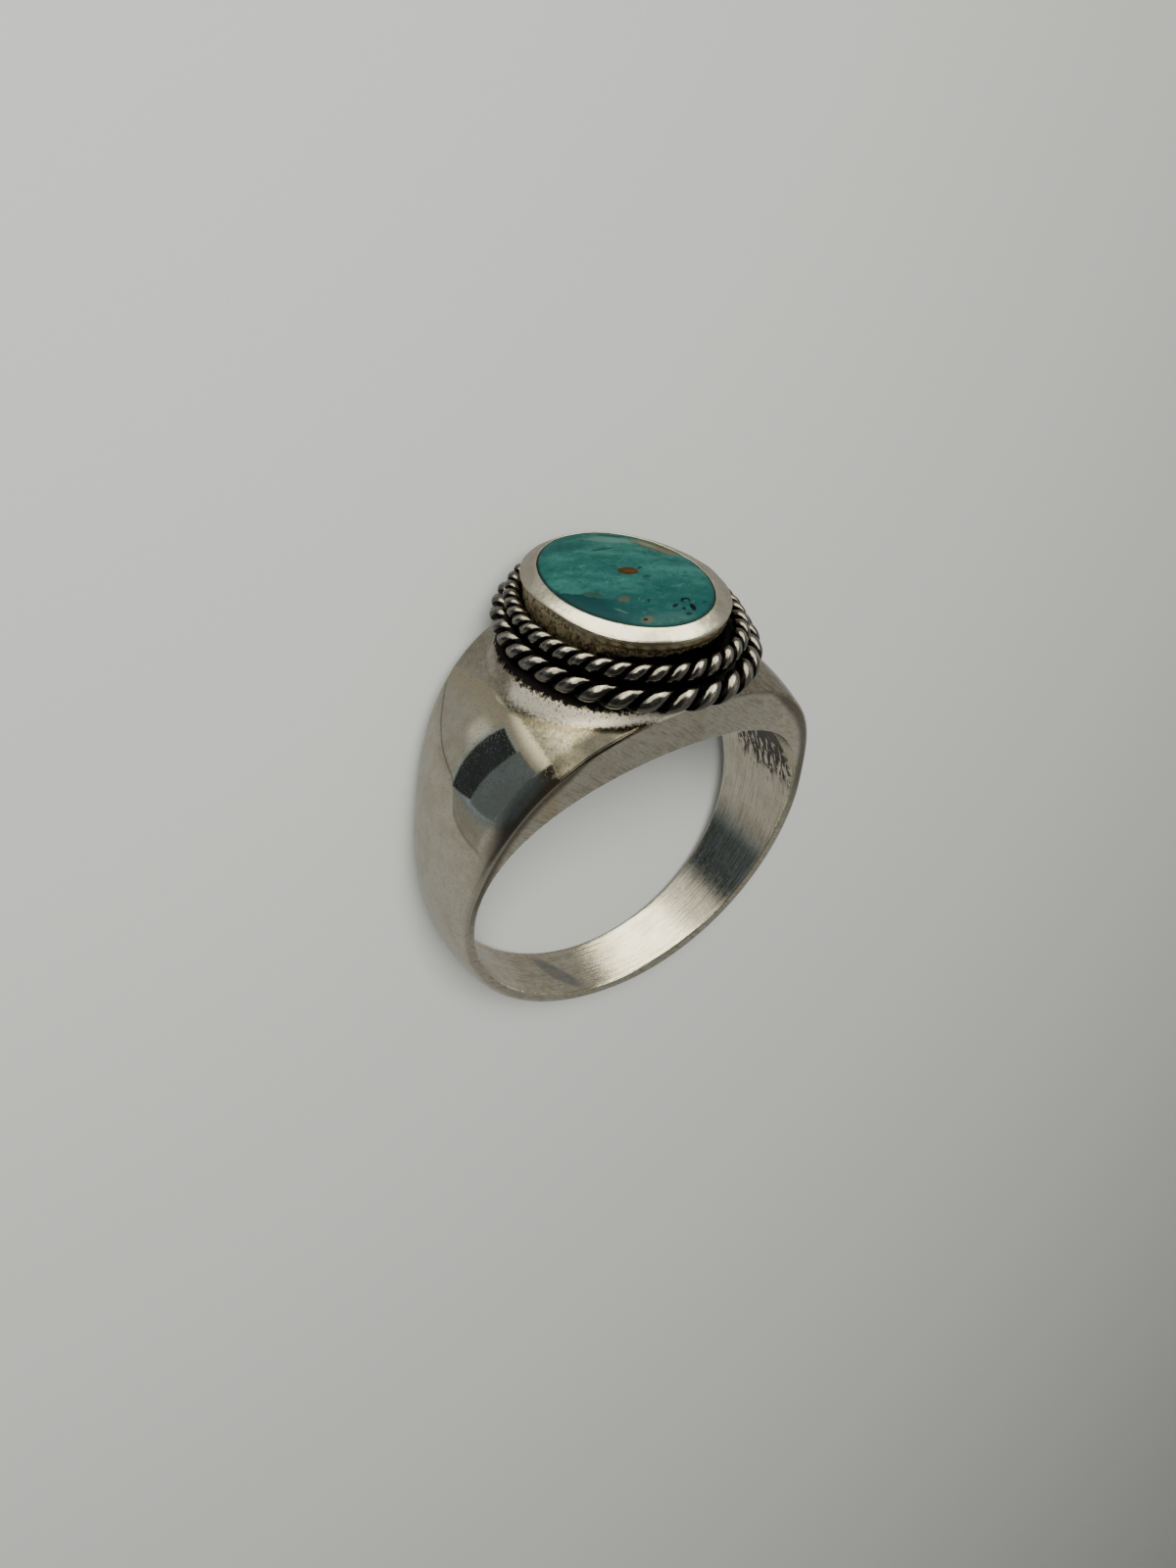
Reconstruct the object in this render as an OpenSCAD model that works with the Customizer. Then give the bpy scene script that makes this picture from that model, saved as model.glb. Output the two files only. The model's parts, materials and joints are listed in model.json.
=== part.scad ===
// A silver finger ring with an oval turquoise. It is modelled upright, with the finger's
// hole along Y and the stone on top at +Z, and is then laid on its side as it rests.

/* [Finger] */
// Inner diameter of the hole for the finger
finger_d = 19; // [16:0.2:22]

/* [Shank] */
// Half the shank's width at the palm side
palm_half_width = 1.75; // [1.4:0.05:2.4]
// Width that half of the shank gains evenly up to the head
taper_even = 1.45; // [0.8:0.05:2]
// Width that half of the shank gains close to the head
taper_head = 2.9; // [2:0.05:3.4]
// Wall at the side edges, palm side
edge_wall_palm = 0.65; // [0.5:0.05:1.2]
// Wall at the side edges, under the head
edge_wall_head = 2.15; // [1.9:0.05:2.4]
// Height of the rounded back over the edges, palm side
crown_palm = 0.3; // [0.2:0.05:0.8]
// Height of the rounded back over the edges, at the shoulders
crown_shoulder = 0.7; // [0.4:0.05:1.1]
// Rounding of the rear edge
rear_round = 0.5; // [0.3:0.05:0.6]
// Bevel of the front edge
front_bevel = 0.15; // [0.05:0.05:0.3]

/* [Head] */
// Half the head's length along the finger, at the rim round the stone
head_half_len = 5.58; // [5.3:0.02:5.8]
// Half the head's width across the finger, at the rim round the stone
head_half_wid = 4.44; // [4.2:0.02:4.6]
// How far the bezel and its stone sit behind the middle of the shank
head_back = 0.1; // [0:0.02:0.16]
// Height of the rim's outer edge over the centre of the finger
rim_z = 14.55; // [14.3:0.05:15]
// Rise of the rim from its outer edge to the stone
rim_rise = 0.38; // [0.2:0.02:0.5]
// Width of the rim's slope at the two sides of the stone
rim_side_w = 0.8; // [0.6:0.05:0.9]
// Width of the rim's slope at the two ends of the stone
rim_end_w = 0.62; // [0.6:0.02:0.9]
// Height of the rim's outer face
rim_h = 0.4; // [0.3:0.05:0.6]

/* [Twisted wires] */
// Half the lower wire's length along the finger, at its centre line
lower_half_len = 6.75; // [6.6:0.05:6.9]
// Half the lower wire's width across the finger, at its centre line
lower_half_wid = 5.3; // [5.2:0.05:5.4]
// Height of the lower wire's centre line
lower_z = 12.38; // [12.3:0.02:12.5]
// Radius of the lower wire over its strands
lower_r = 0.62; // [0.55:0.01:0.66]
// Full twists of the lower wire on its way round
lower_turns = 16; // [12:1:20]
// Half the upper wire's length along the finger, at its centre line
upper_half_len = 6.15; // [6.05:0.05:6.2]
// Half the upper wire's width across the finger, at its centre line
upper_half_wid = 4.8; // [4.75:0.05:4.85]
// Height of the upper wire's centre line
upper_z = 13.42; // [13.4:0.02:13.5]
// Radius of the upper wire over its strands
upper_r = 0.48; // [0.42:0.01:0.5]
// Full twists of the upper wire on its way round
upper_turns = 20.5; // [16:0.5:24]

/* [Stone] */
// Height of the dome over the rim
dome_h = 0.38; // [0.2:0.02:0.6]
// Depth of the seat under the rim's outer edge
seat_depth = 1.5; // [1:0.1:1.7]
// Gap between the stone and the metal
seat_gap = 0.05; // [0.03:0.01:0.1]

/* [Hidden] */
finger_r = finger_d / 2;
// points round an oval of the head, sections round the shank and points across its back
oval_n = 56;
shank_n = 72;
back_n = 9;
// steps of the shank's rounded rear edge and of the stone's dome
rear_n = 3;
dome_n = 6;
// how full the shank's back is: 2 is a plain parabola
back_power = 2.2;
// points round a twisted wire and sections in one full twist
wire_n = 8;
twist_n = 8;
// how thin a twisted wire is between its two strands, as a share of its full width
wire_waist = 0.55;
// the wall starts this deep inside the hole, which is bored afterwards
bore_allowance = 0.6;
// how far the cutter of the hole runs past the shank at each side, and its sides where it is drawn
cutter_overrun = 3;
cutter_n = 96;
// the angles between which the edge wall and the crown grow, from level towards the head
wall_from = 12;
wall_to = 70;
crown_from = -30;
crown_to = 45;
// the angles between which the crown sinks again, under the head, and the share of it that is left
flat_from = 58;
flat_to = 84;
crown_left = 0.1;
// silver over the hole where the head's solid starts
hole_cover = 0.3;
// heights of the head's steps over the centre of the finger
platform_z = 11.85;
collar_z = 12.98;
core_z = finger_r + hole_cover;
floor_z = rim_z - seat_depth;
lip_z = rim_z + rim_rise;
lip_h = 0.18;
// how far the bezel's wall stands back under the rim, and the lip reaches over the stone
wall_back = 0.12;
lip_reach = 0.35;
// flat top of the lip, and the opening for the stone as half length and half width
lip_flat = 0.06;
slope_top = [head_half_len - rim_end_w, head_half_wid - rim_side_w];
opening = [slope_top[0] - lip_flat, slope_top[1] - lip_flat];
// half sizes of the platform, its foot and the collar, as length and width
platform = [5.95, 5.8];
foot = [5.75, 6.6];
collar = [6.3, 4.85];
// height of the platform's upright edge, and of the bend in the slope below it
platform_h = 0.25;
bend_h = 0.7;
bend = [5.9, 6.05];

function smooth(u) = let (c = min(1, max(0, u))) c * c * (3 - 2 * c);
function grow(low, high, from, to, a) = low + (high - low) * smooth((a - from) / (to - from));

// half width, edge wall and crown of the shank at the angle a, from -90 at the palm to 90 at the head
function rise(a) = (1 + sin(a)) / 2;
function half_width(a) = palm_half_width + taper_even * rise(a) + taper_head * pow(rise(a), 3);
function edge_r(a) = finger_r + grow(edge_wall_palm, edge_wall_head, wall_from, wall_to, a);
function crown(a) = grow(crown_palm, crown_shoulder, crown_from, crown_to, a)
    * grow(1, crown_left, flat_from, flat_to, a);
function lift(a) = a > 90 ? 180 - a : a;

// one section of the shank as [distance along the finger, radius], from the rear edge over the back
function section(a) = let (
    w = half_width(a), e = edge_r(a), c = crown(a),
    inside = finger_r - bore_allowance,
    rear = [for (k = [0:rear_n - 1]) let (q = 90 * k / rear_n)
        [-w + rear_round * (1 - sin(q)), e - rear_round * (1 - cos(q))]],
    back = [for (k = [1:back_n]) let (t = -1 + 2 * k / (back_n + 1))
        [t * (w - (t > 0 ? front_bevel : rear_round)), e + c * (1 - pow(abs(t), back_power))]])
    concat([[-w, inside]], [for (k = [rear_n - 1:-1:0]) rear[k]], back,
        [[w - front_bevel, e], [w, e - front_bevel], [w, inside]]);

// joins rings of points, each a list of the same length, into a solid that is closed at both ends
function flat(rings) = [for (r = rings) each r];
function walls(count, n, closed) = [for (j = [0:count - (closed ? 1 : 2)], i = [0:n - 1])
    let (a = j * n, b = ((j + 1) % count) * n, m = (i + 1) % n)
    each [[a + i, b + m, a + m], [a + i, b + i, b + m]]];
function caps(count, n) = [[for (i = [0:n - 1]) i], [for (i = [n - 1:-1:0]) (count - 1) * n + i]];

function oval(half_len, half_wid, z, back) =
    [for (i = [0:oval_n - 1]) let (a = 360 * i / oval_n) [half_wid * cos(a), half_len * sin(a) - back, z]];

// a solid through ovals, from the lowest up, each given as [half length, half width, height] and, where its
// centre sits further back, that distance
module oval_solid(steps) {
    rings = [for (s = steps) oval(s[0], s[1], s[2], len(s) > 3 ? s[3] : 0)];
    polyhedron(flat(rings), concat(walls(len(rings), oval_n, false), caps(len(rings), oval_n)));
}

module shank_blank() {
    rings = [for (j = [0:shank_n - 1]) let (a = 360 * j / shank_n - 90, s = section(lift(a)))
        [for (p = s) [p[1] * cos(a), p[0], p[1] * sin(a)]]];
    polyhedron(flat(rings), walls(shank_n, len(rings[0]), true));
}

// the angle on an oval at an even share of its length round
function even_angle(u, a, b) = let (q = (a * a - b * b) / (a * a + b * b) / 4)
    360 * u - (180 / PI) * q * sin(720 * u);

// two strands twisted together and bent into an oval
module twisted_wire(half_len, half_wid, z, r, turns) {
    count = round(turns * twist_n);
    shift = (turns - floor(turns)) * wire_n;
    ring = function (j) let (
        a = even_angle(j / count, half_len, half_wid), twist = 360 * turns * j / count,
        centre = [half_wid * cos(a), half_len * sin(a), z],
        out = [half_len * cos(a), half_wid * sin(a), 0] / norm([half_len * cos(a), half_wid * sin(a)]))
        [for (i = [0:wire_n - 1]) let (
            q = 360 * i / wire_n, b = q + twist,
            d = r * sqrt(pow(cos(q), 2) + pow(wire_waist * sin(q), 2)))
            centre + d * cos(b) * out + [0, 0, d * sin(b)]];
    rings = [for (j = [0:count - 1]) ring(j)];
    sides = [for (j = [0:count - 1], i = [0:wire_n - 1]) let (
        last = j == count - 1, s = last ? shift : 0,
        a = j * wire_n, b = (last ? 0 : j + 1) * wire_n, m = (i + 1) % wire_n)
        each [[a + m, b + (i + s) % wire_n, a + i], [a + m, b + (m + s) % wire_n, b + (i + s) % wire_n]]];
    polyhedron(flat(rings), sides);
}

// the head under the wires in one go: its foot, the platform, the collar, the bezel's wall and rim, and then
// down inside the lip to the floor of the seat
module head_blank() {
    wall = [head_half_len - wall_back, head_half_wid - wall_back];
    oval_solid([
        [foot[0], foot[1], core_z],
        [bend[0], bend[1], platform_z - bend_h],
        [platform[0], platform[1], platform_z - platform_h],
        [platform[0], platform[1], platform_z],
        [collar[0], collar[1], platform_z],
        [collar[0], collar[1], collar_z],
        [wall[0], wall[1], collar_z, head_back],
        [wall[0], wall[1], rim_z - rim_h, head_back],
        [head_half_len, head_half_wid, rim_z - rim_h, head_back],
        [head_half_len, head_half_wid, rim_z, head_back],
        [slope_top[0], slope_top[1], lip_z, head_back],
        [opening[0], opening[1], lip_z, head_back],
        [opening[0], opening[1], lip_z - lip_h, head_back],
        [opening[0] + lip_reach, opening[1] + lip_reach, lip_z - lip_h - lip_reach, head_back],
        [opening[0] + lip_reach, opening[1] + lip_reach, floor_z, head_back]]);
}

module finger_hole() {
    rotate([90, 0, 0])
        cylinder(h = 2 * (half_width(90) + cutter_overrun), r = finger_r, center = true, $fn = cutter_n);
}

// where the ring touches the surface: the lower wire behind the head, and the rear edge at the palm
wire_touch = [-lower_half_len, lower_z];
palm_touch = [rear_round - palm_half_width, rear_round - finger_r - edge_wall_palm];
span = wire_touch - palm_touch;
lean = atan(-span[0] / span[1]) + asin((lower_r - rear_round) / norm(span));
touch_h = wire_touch[0] * cos(lean) + wire_touch[1] * sin(lean) - lower_r;
// the furthest reach towards the stone and towards the palm once it lies, where the back of the shank turns
// down at about a quarter of its half width
turn_share = 0.25;
stone_reach = -(slope_top[0] - head_back) * sin(lean) - lip_z * cos(lean);
palm_reach = (finger_r + edge_wall_palm + crown_palm) * cos(lean) + turn_share * palm_half_width * sin(lean);

// lays the upright ring on its rear side, on Z = 0 and with its middle over the origin
module laid() {
    translate([0, -(stone_reach + palm_reach) / 2, -touch_h]) rotate([90 - lean, 0, 0]) children();
}

module silver_ring() color("silver") laid() {
    difference() {
        union() {
            shank_blank();
            head_blank();
            twisted_wire(lower_half_len, lower_half_wid, lower_z, lower_r, lower_turns);
            twisted_wire(upper_half_len, upper_half_wid, upper_z, upper_r, upper_turns);
        }
        finger_hole();
    }
}

module turquoise() color("mediumturquoise") laid() {
    top = [opening[0] - seat_gap, opening[1] - seat_gap];
    girdle = [top[0] + lip_reach, top[1] + lip_reach];
    oval_solid(concat(
        [[girdle[0], girdle[1], floor_z + seat_gap, head_back],
            [girdle[0], girdle[1], lip_z - lip_h - lip_reach - seat_gap, head_back],
            [top[0], top[1], lip_z - lip_h - seat_gap, head_back]],
        [for (k = [0:dome_n - 1]) let (q = 90 * k / dome_n)
            [top[0] * cos(q), top[1] * cos(q), lip_z + dome_h * sin(q), head_back]]));
}

silver_ring();
turquoise();
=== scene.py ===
# %% [markdown]
# # A silver ring with an oval turquoise
#
# The real ring is silver: a broad shank that narrows towards the palm, a raised bezel that
# holds the stone, and two twisted wires soldered round it. The grooves are blackened and the
# high places are polished again. This lesson builds each of those forms round a packed model
# that fixes every size, and then gives each one its finish.

# %% Load the frame
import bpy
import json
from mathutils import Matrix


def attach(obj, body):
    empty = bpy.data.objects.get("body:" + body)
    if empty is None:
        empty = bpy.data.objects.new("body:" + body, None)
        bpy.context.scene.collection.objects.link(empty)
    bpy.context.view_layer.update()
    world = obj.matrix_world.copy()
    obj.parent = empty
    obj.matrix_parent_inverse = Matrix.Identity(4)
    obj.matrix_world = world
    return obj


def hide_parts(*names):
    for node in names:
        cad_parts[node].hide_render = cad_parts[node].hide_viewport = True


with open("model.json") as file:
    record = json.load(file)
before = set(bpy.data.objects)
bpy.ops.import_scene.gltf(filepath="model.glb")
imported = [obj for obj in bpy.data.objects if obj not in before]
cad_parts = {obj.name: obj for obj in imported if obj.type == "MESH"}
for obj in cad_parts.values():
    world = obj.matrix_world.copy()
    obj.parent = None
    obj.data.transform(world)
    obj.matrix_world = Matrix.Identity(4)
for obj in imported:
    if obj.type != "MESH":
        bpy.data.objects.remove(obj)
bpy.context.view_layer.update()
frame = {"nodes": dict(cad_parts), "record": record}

# %% [markdown]
# ## Tools
#
# bmesh shapes the meshes and mathutils places them. Lengths are in millimetres, and one
# factor turns them into Blender's metres.

# %% Tools of this lesson
import json
from math import asin, atan, atan2, cos, degrees, exp, hypot, pi, radians, sin, sqrt

import bmesh
import bpy
from mathutils import Euler, Matrix, Quaternion, Vector, noise

MM = 0.001
print("Blender", bpy.app.version_string, "- one millimetre is", MM)

# %% [markdown]
# ## The ring's own axes
#
# The ring lies on its side, but it is easier to think of it upright: the finger goes in along
# Y, the stone is on top at +Z, and X runs across. The record gives the finger hole's centre and
# axis, and that fixes one matrix. Every piece is modelled upright in millimetres, and that
# matrix then lays its mesh down in metres. Turned objects would be shorter to write, but they
# would turn the patterns too.

# %% The matrix that lays the ring down
hole = frame["record"]["mounts"][0]
finger_axis = Vector(hole["axis"])
across = Vector((1, 0, 0))
stone_axis = across.cross(finger_axis)
turn = Matrix((across, finger_axis, stone_axis)).transposed()
laid = Matrix.Translation(hole["pos_m"]) @ turn.to_4x4() @ Matrix.Scale(MM, 4)
finger_r = hole["dims"]["r_mm"]
half_length = hole["dims"]["length_mm"] / 2
print("finger radius", finger_r, "mm, half the hole's length", half_length, "mm")

# %% Measure the packed stone
stand_up = laid.inverted()
stone_top = max((stand_up @ v.co).z for v in frame["nodes"]["turquoise"].data.vertices)
print("top of the stone", round(stone_top, 3), "mm over the finger's axis")

# %% [markdown]
# ## The camera
#
# The photograph was taken from close by, a little to the left of the finger's axis and well
# above it, so the near shoulder looks large. The camera keeps that place and angle to the
# ring. The ring now lies on its side, so the camera looks down on the surface.


# %% Place the camera
def add_object(name, data):
    """Puts a new object in the scene."""
    made = bpy.data.objects.new(name, data)
    bpy.context.scene.collection.objects.link(made)
    return made


camera_place = Vector((25.6, 37.51, 37.61))
camera_aim = Vector((0.31, -2.02, 2.03))
camera_roll = radians(2.06)
picture_height = 1600
focal_px = 1132.4
sensor_mm = 36

look = (camera_aim - camera_place).to_track_quat("-Z", "Y") @ Quaternion((0, 0, 1), camera_roll)
camera = add_object("camera", bpy.data.cameras.new("camera"))
camera.matrix_world = Matrix.Translation(laid @ camera_place) @ (turn @ look.to_matrix()).to_4x4()
camera.data.sensor_width = sensor_mm
camera.data.lens = focal_px / picture_height * sensor_mm
camera.data.clip_start = MM
bpy.context.scene.camera = camera
print("camera", [round(c / MM, 1) for c in camera.location], "mm, lens", round(camera.data.lens, 2))

# %% [markdown]
# ## Helpers for sizes
#
# Hand-made metal has no hard changes, so small functions blend sizes, join heights with a
# fillet, measure the way out of an oval and give the slight unevenness of worn metal. The
# noise is a fixed one, so each run is the same.


# %% Helpers for sizes
def smooth(u):
    """A soft step from 0 to 1."""
    u = min(1.0, max(0.0, u))
    return u * u * (3 - 2 * u)


def grow(low, high, start, end, angle):
    return low + (high - low) * smooth((angle - start) / (end - start))


def fillet_max(a, b, width):
    """The higher of two heights, joined by a fillet of that width."""
    share = min(1.0, max(0.0, 0.5 + 0.5 * (b - a) / width))
    return a + (b - a) * share + width * share * (1 - share)


def oval_gap(x, y, half_len, half_wid):
    """How far a point lies outside an oval, in millimetres, and negative inside it."""
    reach = hypot(x / half_wid, y / half_len)
    return hypot(x, y) * (1 - 1 / max(reach, 0.05))


def uneven(place, waves):
    """Unevenness at a place, from pairs of waves in a millimetre and how far they reach."""
    return sum(noise.noise(place * per_mm) * size for per_mm, size in waves)


print("half way from 2 to 4 mm:", grow(2, 4, 0, 1, 0.5))

# %% [markdown]
# ## Finish a piece
#
# A piece is built in a bmesh. One helper closes it: it merges doubles, turns the faces
# outwards, lays the mesh down and makes it ride with the ring's body. The piece's object stays
# at the origin, so materials and exports see the same places.

# %% Helpers that close a piece
SAME_PLACE = 1e-5


def add_mesh(name, bm):
    mesh = bpy.data.meshes.new(name)
    bm.to_mesh(mesh)
    bm.free()
    return add_object(name, mesh)


def finish_piece(bm, name, node):
    bmesh.ops.remove_doubles(bm, verts=bm.verts[:], dist=SAME_PLACE)
    bmesh.ops.recalc_face_normals(bm, faces=bm.faces[:])
    bm.transform(laid)
    for face in bm.faces:
        face.smooth = True
    piece = add_mesh(name, bm)
    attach(piece, "root")
    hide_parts(node)
    print(name, len(piece.data.vertices), "vertices,", len(piece.data.polygons), "faces")
    return piece


print("points closer than", SAME_PLACE, "mm are merged")

# %% [markdown]
# ## The shank
#
# The shank's section changes all the way round: narrow and thin at the palm, wide and thick
# under the head. A square outline is spun once round the finger's axis into an even tube, and
# each vertex is later moved to its place on the real section. That is easier to steer than a
# loft, because the sizes stay in a few short functions.

# %% Spin the outline into a tube
SHANK_STEPS = 400
OUTLINE_CUTS = (23, 15, 55, 15)
base_radius = 5.0

bm = bmesh.new()
corner_spots = [(0, -1), (0, 1), (1, 1), (1, -1)]
corners = [bm.verts.new((base_radius + v, u, 0)) for v, u in corner_spots]
sides = [bm.edges.new((corners[i], corners[(i + 1) % 4])) for i in range(4)]
for edge, cuts in zip(sides, OUTLINE_CUTS):
    bmesh.ops.subdivide_edges(bm, edges=[edge], cuts=cuts)
bmesh.ops.spin(bm, geom=bm.verts[:] + bm.edges[:], cent=(0, 0, 0), axis=(0, 1, 0),
               angle=2 * pi, steps=SHANK_STEPS, use_merge=True)
print("tube of", len(bm.verts), "vertices")

# %% [markdown]
# ## Sizes of the shank
#
# Angles run round the finger from the palm at -90 degrees, past the sides at 0, to the head
# at 90. Most sizes are pairs, and a soft step leads from one to the other between two angles.

# %% Sizes of the shank
palm_half_width = 1.75
taper_even = 1.45
taper_head = half_length - palm_half_width - taper_even
edge_wall = (0.65, 2.15)
edge_wall_angles = (12, 70)
crown_sizes = (0.3, 0.7)
crown_angles = (-30, 45)
crown_left = 0.1
crown_sinks = (58, 84)
crown_power = 2.2
rear_round = 0.5
rear_inset = 0.035
front_round = (0.36, 0.20)
front_round_right = (0.20, 0.12)
front_round_angles = (20, 60)
roll_width = 0.9
roll_height = 0.10
roll_starts = (20, 40)
roll_ends = (66, 80)
hole_round = 0.09
print("half width from", palm_half_width, "mm at the palm to", half_length, "mm at the head")


# %% Width, thickness and crown round the ring
def half_width(angle):
    rise = (1 + sin(radians(angle))) / 2
    return palm_half_width + taper_even * rise + taper_head * rise ** 3


def edge_radius(angle):
    return finger_r + grow(*edge_wall, *edge_wall_angles, angle)


def crown(angle):
    """How much higher the middle of the back is than its edges."""
    return grow(*crown_sizes, *crown_angles, angle) * grow(1, crown_left, *crown_sinks, angle)


def front_roll(angle):
    """How far the back sinks towards its front edge, which the polishing has rubbed down."""
    return roll_height * grow(0, 1, *roll_starts, angle) * grow(1, 0, *roll_ends, angle)


def side_sizes(angle, side, left_share):
    """Half width, edge rounding and roll of the rear (-1) or the front (1)."""
    if side < 0:
        return half_width(angle) - rear_inset, rear_round, 0.0
    soft_right = grow(*front_round_right, *front_round_angles, angle)
    soft_left = grow(*front_round, *front_round_angles, angle)
    soft = soft_right + (soft_left - soft_right) * left_share
    return half_width(angle), soft, front_roll(angle) * left_share


print("half widths at the palm, side and head:", [round(half_width(a), 2) for a in (-90, 0, 90)])

# %% [markdown]
# ## One point of the section
#
# The section is a rounded bar: a flat inside, two flat walls and a crowned back. The last part
# of each side is kept for the arc that rounds its corner.

# %% Helpers of the section
CORNER = 0.16
NEAR = 0.001


def folded(angle):
    """The angle from -90 to 90 at the same height, because both flanks are alike."""
    return degrees(asin(sin(radians(angle))))


def on_arc(centre_y, centre_r, radius, side, lean):
    """A point on a rounded edge, where lean turns from straight out (0) to sideways (90)."""
    lean = radians(lean)
    return centre_y + side * radius * sin(lean), centre_r + radius * cos(lean)


def into_corner(along):
    """How far a place along a side is into the corner at its end, from 0 to 1."""
    return max(0.0, (along - 1 + CORNER) / CORNER)


def hole_corner(width, side, lean):
    """A point on the small rounding between the finger hole and a wall."""
    y, r = on_arc(side * (width - hole_round), 0, hole_round, side, lean)
    return y, finger_r + hole_round - r


print("arc at 45 degrees:", [round(c, 3) for c in on_arc(0, 0, 1, 1, 45)])


# %% A point of the section
def section_point(u, v, angle):
    """Place on the section: u from -1 at the rear to 1 at the front, v from 0 inside to 1 outside."""
    left_share = smooth(0.5 + 2 * cos(radians(angle)))
    angle = folded(angle)
    side = 1 if u >= 0 else -1
    width, soft, roll = side_sizes(angle, side, left_share)
    along = abs(u)
    if v < NEAR and into_corner(along) > 0:
        return hole_corner(width, side, 45 * into_corner(along))
    if v < NEAR:
        return side * (width - hole_round) * along / (1 - CORNER), finger_r
    edge, rise = edge_radius(angle), crown(angle)
    slope = degrees(atan(crown_power * rise / (width - soft) + 2 * roll / roll_width))
    middle = (slope + 90) / 2
    arc = (side * (width - soft), edge - roll - soft * cos(radians(slope)), soft, side)
    if v > 1 - NEAR and into_corner(along) > 0:
        return on_arc(*arc, slope + (middle - slope) * into_corner(along))
    if v > 1 - NEAR:
        run = width - soft * (1 - sin(radians(slope)))
        y = run * along / (1 - CORNER)
        rolled = max(0.0, (y - run + roll_width) / roll_width)
        return side * y, edge + rise * (1 - (y / run) ** crown_power) - roll * rolled ** 2
    if into_corner(v) > 0:
        return on_arc(*arc, 90 + (middle - 90) * into_corner(v))
    if v < CORNER:
        return hole_corner(width, side, 45 + 45 * v / CORNER)
    foot_r = finger_r + hole_round
    return side * width, foot_r + (arc[1] - foot_r) * (v - CORNER) / (1 - 2 * CORNER)


print("back at the side of the ring:", [round(c, 3) for c in section_point(0, 1, 0)])

# %% [markdown]
# ## The skirt under the head
#
# The head doesn't stand on the band like a box: the silver runs up to it in a short, steep
# skirt. Its height depends only on the distance from the platform's oval, so one function
# serves all round, and the fillet joins it to the back.

# %% The skirt
head_shift = -0.1
platform_z = 11.85
platform_len, platform_wid = 5.95, 5.8
skirt_slope = 2.7
skirt_lip = 0.22
skirt_out = 0.06
skirt_fillet = 0.32


def foot_gap(x, y):
    """How far a point lies outside the platform that the head stands on."""
    return oval_gap(x, y - head_shift, platform_len, platform_wid)


def skirt_z(x, y):
    """Height of the skirt that rises to the foot of the wires."""
    gap = foot_gap(x, y) - skirt_out
    soft_gap = (gap + sqrt(gap * gap + skirt_lip * skirt_lip)) / 2
    return platform_z - skirt_slope * soft_gap


print("skirt at the left, 1 mm outside:", round(skirt_z(platform_wid + 1, head_shift), 2), "mm")

# %% [markdown]
# ## Shape the tube
#
# The steps of the spin are crowded towards the head, where the form changes fastest. Two
# attributes are stored for the finish: the zone (wall, finger hole, distance from the head's
# foot) and the distance from the front edge. A finish can then follow the form without a map.

# %% Move each vertex to the real section
HEAD_CROWDING = 0.45
SKIRT_FROM = 6
FOOT_FROM = 8
FAR = 9.0
BACK_WAVES = ((0.45, 0.02),)
BACK_SINK = 0.02

zone = bm.verts.layers.float_vector.new("zone")
front_edge = bm.verts.layers.float.new("front_edge")
for vertex in bm.verts:
    x, u, z = vertex.co
    v = hypot(x, z) - base_radius
    angle = atan2(z, x)
    angle = degrees(angle + HEAD_CROWDING * cos(angle))
    y, r = section_point(u, v, angle)
    x, z = r * cos(radians(angle)), r * sin(radians(angle))
    inside = v < NEAR
    wall = abs(u) > 1 - NEAR and not inside
    if z > SKIRT_FROM and not inside:
        top_y, top_r = section_point(u, 1, angle)
        top_x, top_z = top_r * cos(radians(angle)), top_r * sin(radians(angle))
        lifted = fillet_max(top_z, skirt_z(top_x, top_y), skirt_fillet)
        z += (lifted - top_z) * (v ** 3 if wall else 1)
    if not inside and not wall:
        wave = (uneven(Vector((x, y, z)), BACK_WAVES) - BACK_SINK) / r
        x, z = x * (1 + wave), z * (1 + wave)
    vertex.co = (x, y, z)
    if inside or u < NEAR - 1:
        vertex[front_edge] = FAR
    elif wall:
        vertex[front_edge] = edge_radius(folded(angle)) - r
    else:
        vertex[front_edge] = half_width(folded(angle)) - y
    flat_wall = 1.0 if wall and v < 1 - CORNER else 0.0
    vertex[zone] = (flat_wall, 1.0 if inside else 0.0, foot_gap(x, y) if z > FOOT_FROM else FAR)
shank = finish_piece(bm, "shank", "silver_ring")

# %% [markdown]
# ## The head
#
# The bezel is a strip of silver bent round the stone, with a thick polished rim that slopes
# outwards and a rough wall below it. One circle is drawn and extruded ring by ring, and each
# new ring is scaled to the next oval of a short table. The corners are then bevelled, each by
# its own small width, because a real rim has no sharp edge.

# %% Ovals of the head
lip_z = 14.93
open_len, open_wid = 4.90, 3.58
HEAD_SEGMENTS = 480
HEAD_OVALS = (
    # half length, half width, height, bevel of the edge there, steps up to it
    (6.15, 4.80, 11.60, 0.00, 1),
    (6.15, 4.80, 12.86, 0.00, 1),
    (6.05, 4.70, 12.96, 0.00, 1),
    (5.44, 4.30, 13.02, 0.05, 2),
    (5.43, 4.29, 13.66, 0.00, 8),
    (5.45, 4.31, 14.08, 0.00, 9),
    (5.51, 4.37, 14.18, 0.03, 1),
    (5.53, 4.39, 14.43, 0.02, 3),
    (5.49, 4.35, 14.49, 0.015, 1),
    (5.57, 4.43, 14.53, 0.03, 1),
    (5.58, 4.44, 14.56, 0.03, 1),
    (5.51, 4.35, 14.62, 0.03, 2),
    (5.28, 4.07, 14.76, 0.08, 2),
    (5.05, 3.78, 14.90, 0.06, 2),
    (4.97, 3.68, lip_z, 0.03, 1),
    (4.92, 3.61, 14.925, 0.012, 1),
    (open_len, 3.59, 14.87, 0.02, 1),
    (open_len, open_wid, 14.40, 0.00, 1),
)
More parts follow.
